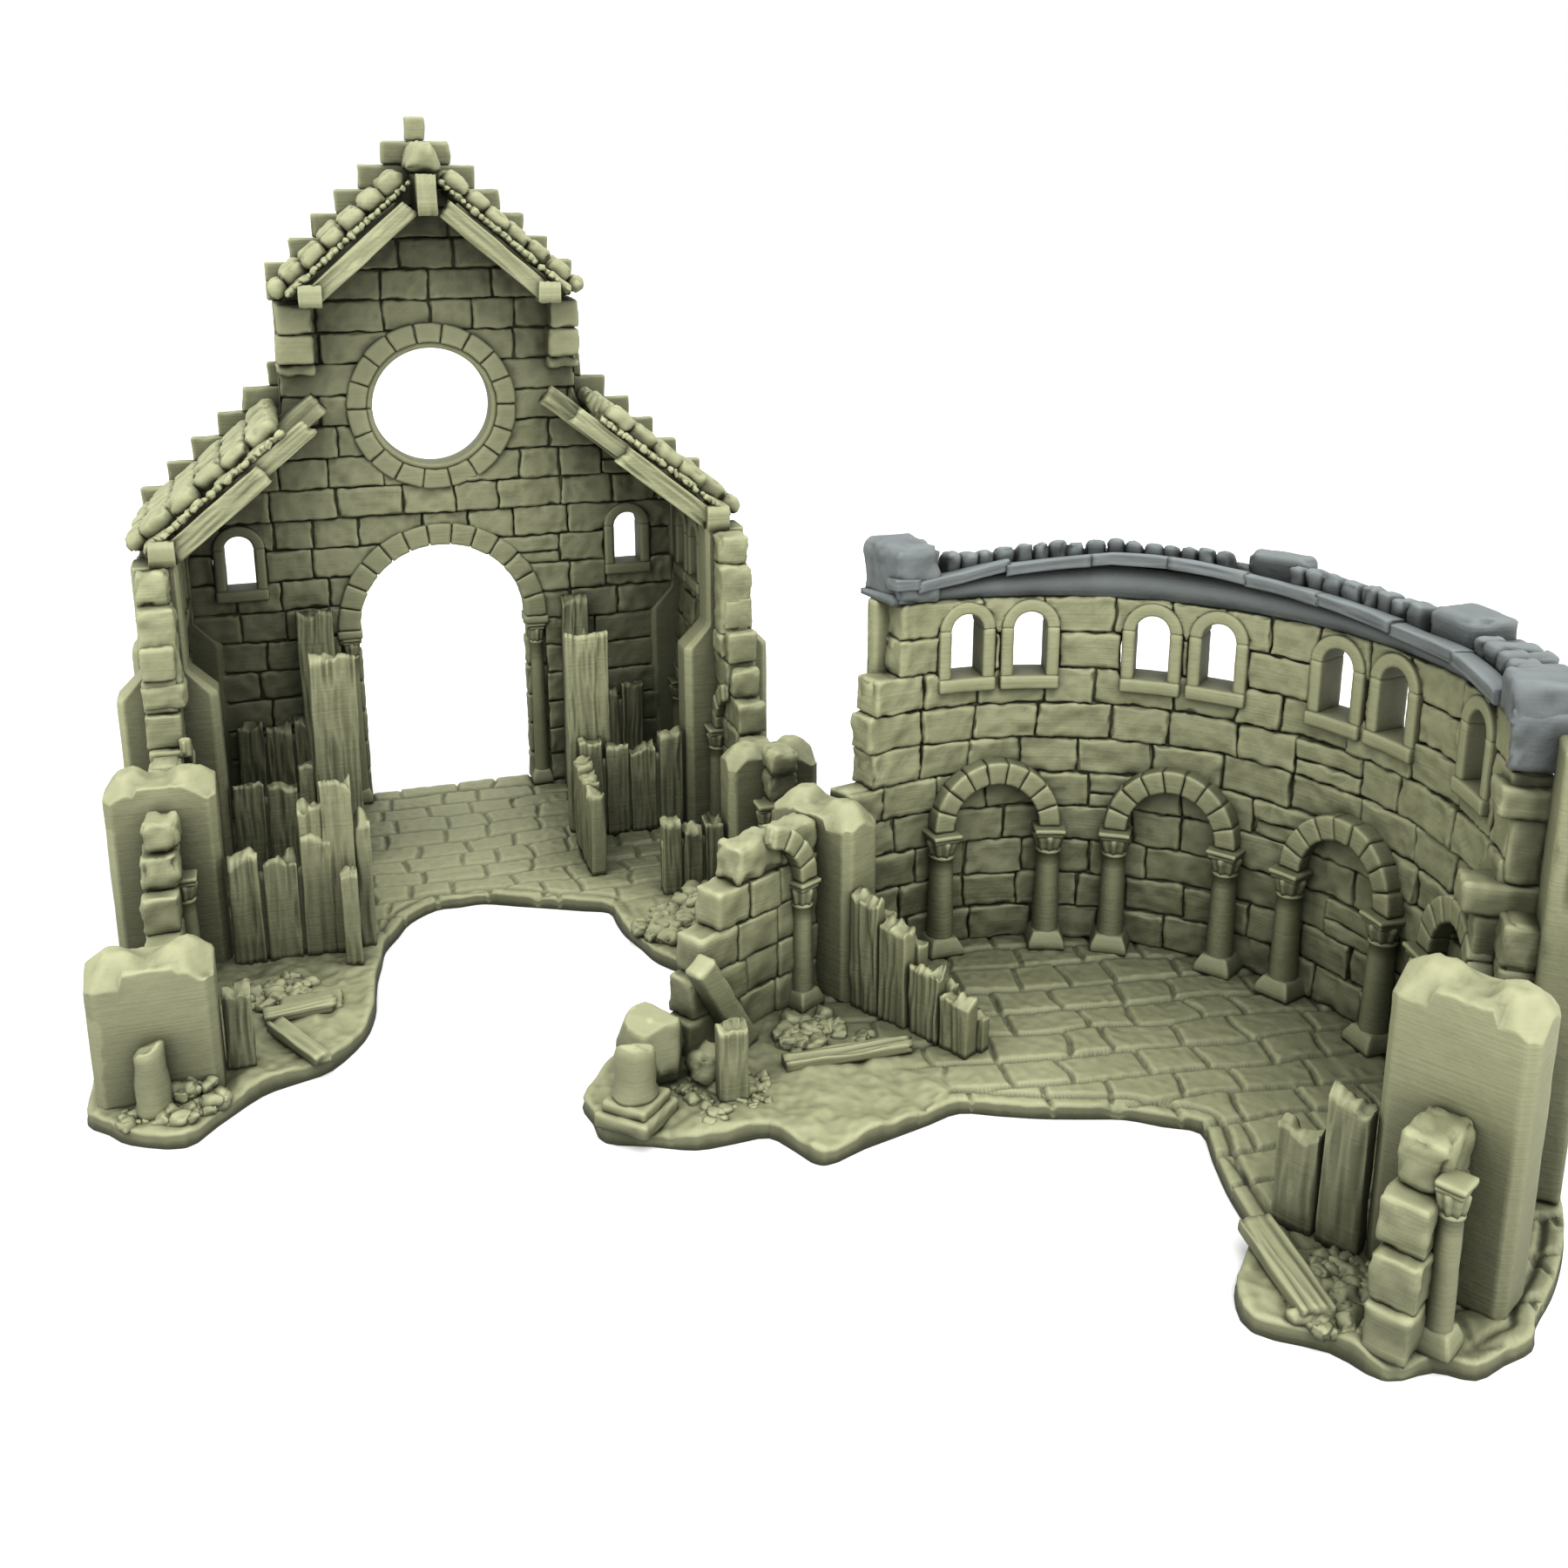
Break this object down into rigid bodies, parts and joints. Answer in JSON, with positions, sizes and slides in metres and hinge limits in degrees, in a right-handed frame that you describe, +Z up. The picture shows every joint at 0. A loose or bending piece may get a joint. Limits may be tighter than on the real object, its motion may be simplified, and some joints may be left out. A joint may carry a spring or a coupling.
{
  "type": "ruined church terrain",
  "caption": "Miniature ruined church for tabletop games: a gabled nave end with portal and rose opening, and a round apse with roof ring, on free-standing floor plates.",
  "frame": {"origin": "under the portal, on the inner face of the front wall, on the table plane", "axes": "+X along the front wall to the viewer's right when looking out through the portal, +Y out through the portal, +Z up"},
  "size_m": [0.1995, 0.2172, 0.1426],
  "materials": {
    "stone_olive": "matte",
    "roof_grey": "matte"
  },
  "bodies": {
    "nave_lower": {"nave_base": "stone_olive", "front_wall": "stone_olive", "portal_arch": "stone_olive", "portal_column_left": "stone_olive", "portal_column_right": "stone_olive", "window_frame_left": "stone_olive", "window_frame_right": "stone_olive", "pier_left_1": "stone_olive", "pier_left_2": "stone_olive", "pier_left_3": "stone_olive", "pier_left_4": "stone_olive", "pier_right_1": "stone_olive", "pier_right_2": "stone_olive", "pier_right_3": "stone_olive", "wall_left_1": "stone_olive", "wall_left_2": "stone_olive", "wall_left_3": "stone_olive", "wall_right_1": "stone_olive", "wall_right_2": "stone_olive", "wall_right_3": "stone_olive", "screen_left_1": "stone_olive", "screen_left_2": "stone_olive", "screen_left_3": "stone_olive", "screen_right_1": "stone_olive", "screen_right_2": "stone_olive", "screen_right_3": "stone_olive", "nave_stump": "stone_olive", "nave_fallen_planks": "stone_olive", "nave_rubble_left": "stone_olive", "nave_rubble_right": "stone_olive"},
    "nave_upper": {"upper_wall": "stone_olive", "rose_ring": "stone_olive", "quoin_left": "stone_olive", "quoin_right": "stone_olive", "aisle_rafters_left": "stone_olive", "aisle_rafters_right": "stone_olive", "aisle_tiles_left": "stone_olive", "aisle_tiles_right": "stone_olive"},
    "gable_top": {"gable_wall": "stone_olive", "king_post": "stone_olive", "gable_rafters_left": "stone_olive", "gable_rafters_right": "stone_olive", "gable_tiles_left": "stone_olive", "gable_tiles_right": "stone_olive"},
    "apse_lower": {"apse_base": "stone_olive", "apse_wall": "stone_olive", "apse_niches": "stone_olive", "apse_buttresses": "stone_olive", "apse_pier_left": "stone_olive", "apse_pier_right": "stone_olive", "apse_fragment_left": "stone_olive", "apse_fragment_right": "stone_olive", "apse_screen_left": "stone_olive", "apse_screen_right": "stone_olive", "apse_stump": "stone_olive", "apse_rubble": "stone_olive"},
    "apse_roof": {"roof_ring": "roof_grey", "roof_tiles": "roof_grey", "roof_planks": "roof_grey", "roof_blocks": "roof_grey"}
  },
  "joints": [
    {"name": "upper_lift", "type": "slide", "parent": "nave_lower", "child": "nave_upper", "axis": [0, 0, 1], "range_m": [0, 0.06]},
    {"name": "gable_lift", "type": "slide", "parent": "nave_upper", "child": "gable_top", "axis": [0, 0, 1], "range_m": [0, 0.05]},
    {"name": "apse_move", "type": "slide", "parent": "nave_lower", "child": "apse_lower", "axis": [1, 0, 0], "range_m": [0, 0.1]},
    {"name": "roof_lift", "type": "slide", "parent": "apse_lower", "child": "apse_roof", "axis": [0, 0, 1], "range_m": [0, 0.05]}
  ]
}
